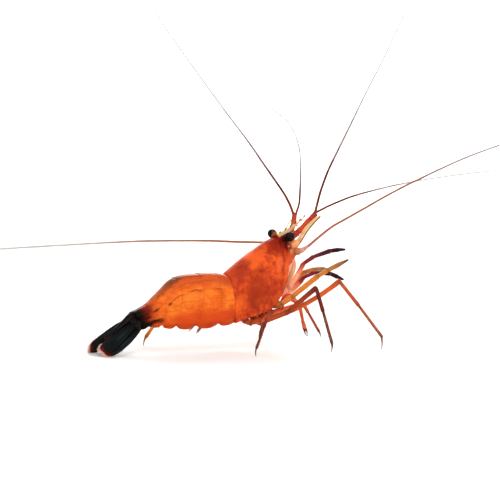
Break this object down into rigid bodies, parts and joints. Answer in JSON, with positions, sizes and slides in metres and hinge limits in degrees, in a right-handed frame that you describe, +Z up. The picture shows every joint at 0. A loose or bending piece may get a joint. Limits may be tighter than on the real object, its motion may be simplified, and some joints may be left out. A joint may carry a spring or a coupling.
{
  "type": "aquarium shrimp",
  "caption": "Red-orange reef shrimp as a life-size still model, with a toothed rostrum, stalked eyes, long whip feelers, slender legs, humped tail and folded black tail fan",
  "frame": {"origin": "middle of the whole model's footprint, feelers included, on the floor that its feet and tail tips stand on", "axes": "+X towards the head, +Y the animal's left, +Z up; at rest it stands with the head raised and the tail fan's tips on the floor"},
  "size_m": [0.1196, 0.0498, 0.0851],
  "materials": {
    "carapace_shell": "mottled brick red and bright orange shell, smooth, wet gloss",
    "abdomen_shell": "bright orange shell with darker back and flank lines, smooth, wet gloss",
    "tail_fan": "near-black thin shell with a pale pink fringe, smooth gloss",
    "cornea": "black round cornea, very glossy",
    "eyestalk": "dark maroon, smooth",
    "clear_shell": "pale peach, thin and translucent in life, with a dark olive margin",
    "feeding_leg": "dark maroon, paler towards the body, satin",
    "feeler": "salmon pink to brown whip with fine rings, satin",
    "feeler_base": "orange-red, smooth gloss",
    "walking_leg": "orange-red to brown with darker joints, satin gloss",
    "underside": "pinkish orange, smooth satin"
  },
  "bodies": {
    "root": {"antenna_base_left": "feeler_base", "antenna_base_right": "feeler_base", "antenna_left_flagellum": "feeler", "antenna_right_flagellum": "feeler", "antenna_scale_left": "clear_shell", "antenna_scale_right": "clear_shell", "antennule_left": "feeler_base", "antennule_left_inner_flagellum": "feeler", "antennule_left_outer_flagellum": "feeler", "antennule_right": "feeler_base", "antennule_right_inner_flagellum": "feeler", "antennule_right_outer_flagellum": "feeler", "carapace": "carapace_shell", "eye_left": "cornea", "eye_right": "cornea", "eyestalk_left": "eyestalk", "eyestalk_right": "eyestalk", "maxilliped_3_left": "feeding_leg", "maxilliped_3_right": "feeding_leg", "mouthparts": "clear_shell", "pereopod_1_left": "walking_leg", "pereopod_1_right": "walking_leg", "pereopod_2_left": "walking_leg", "pereopod_2_right": "walking_leg", "pereopod_3_left": "walking_leg", "pereopod_3_right": "walking_leg", "pereopod_4_left": "walking_leg", "pereopod_4_right": "walking_leg", "pereopod_5_left": "walking_leg", "pereopod_5_right": "walking_leg", "pleopod_1_left": "underside", "pleopod_1_right": "underside", "pleopod_2_left": "underside", "pleopod_2_right": "underside", "pleopod_3_left": "underside", "pleopod_3_right": "underside", "pleopod_4_left": "underside", "pleopod_4_right": "underside", "pleopod_5_left": "underside", "pleopod_5_right": "underside", "somite_1": "abdomen_shell", "somite_2": "abdomen_shell", "somite_3": "abdomen_shell", "somite_4": "abdomen_shell", "somite_5": "abdomen_shell", "somite_6": "abdomen_shell", "sternum": "underside", "telson": "tail_fan", "uropod_endopod_left": "tail_fan", "uropod_endopod_right": "tail_fan", "uropod_exopod_left": "tail_fan", "uropod_exopod_right": "tail_fan"}
  },
  "joints": []
}
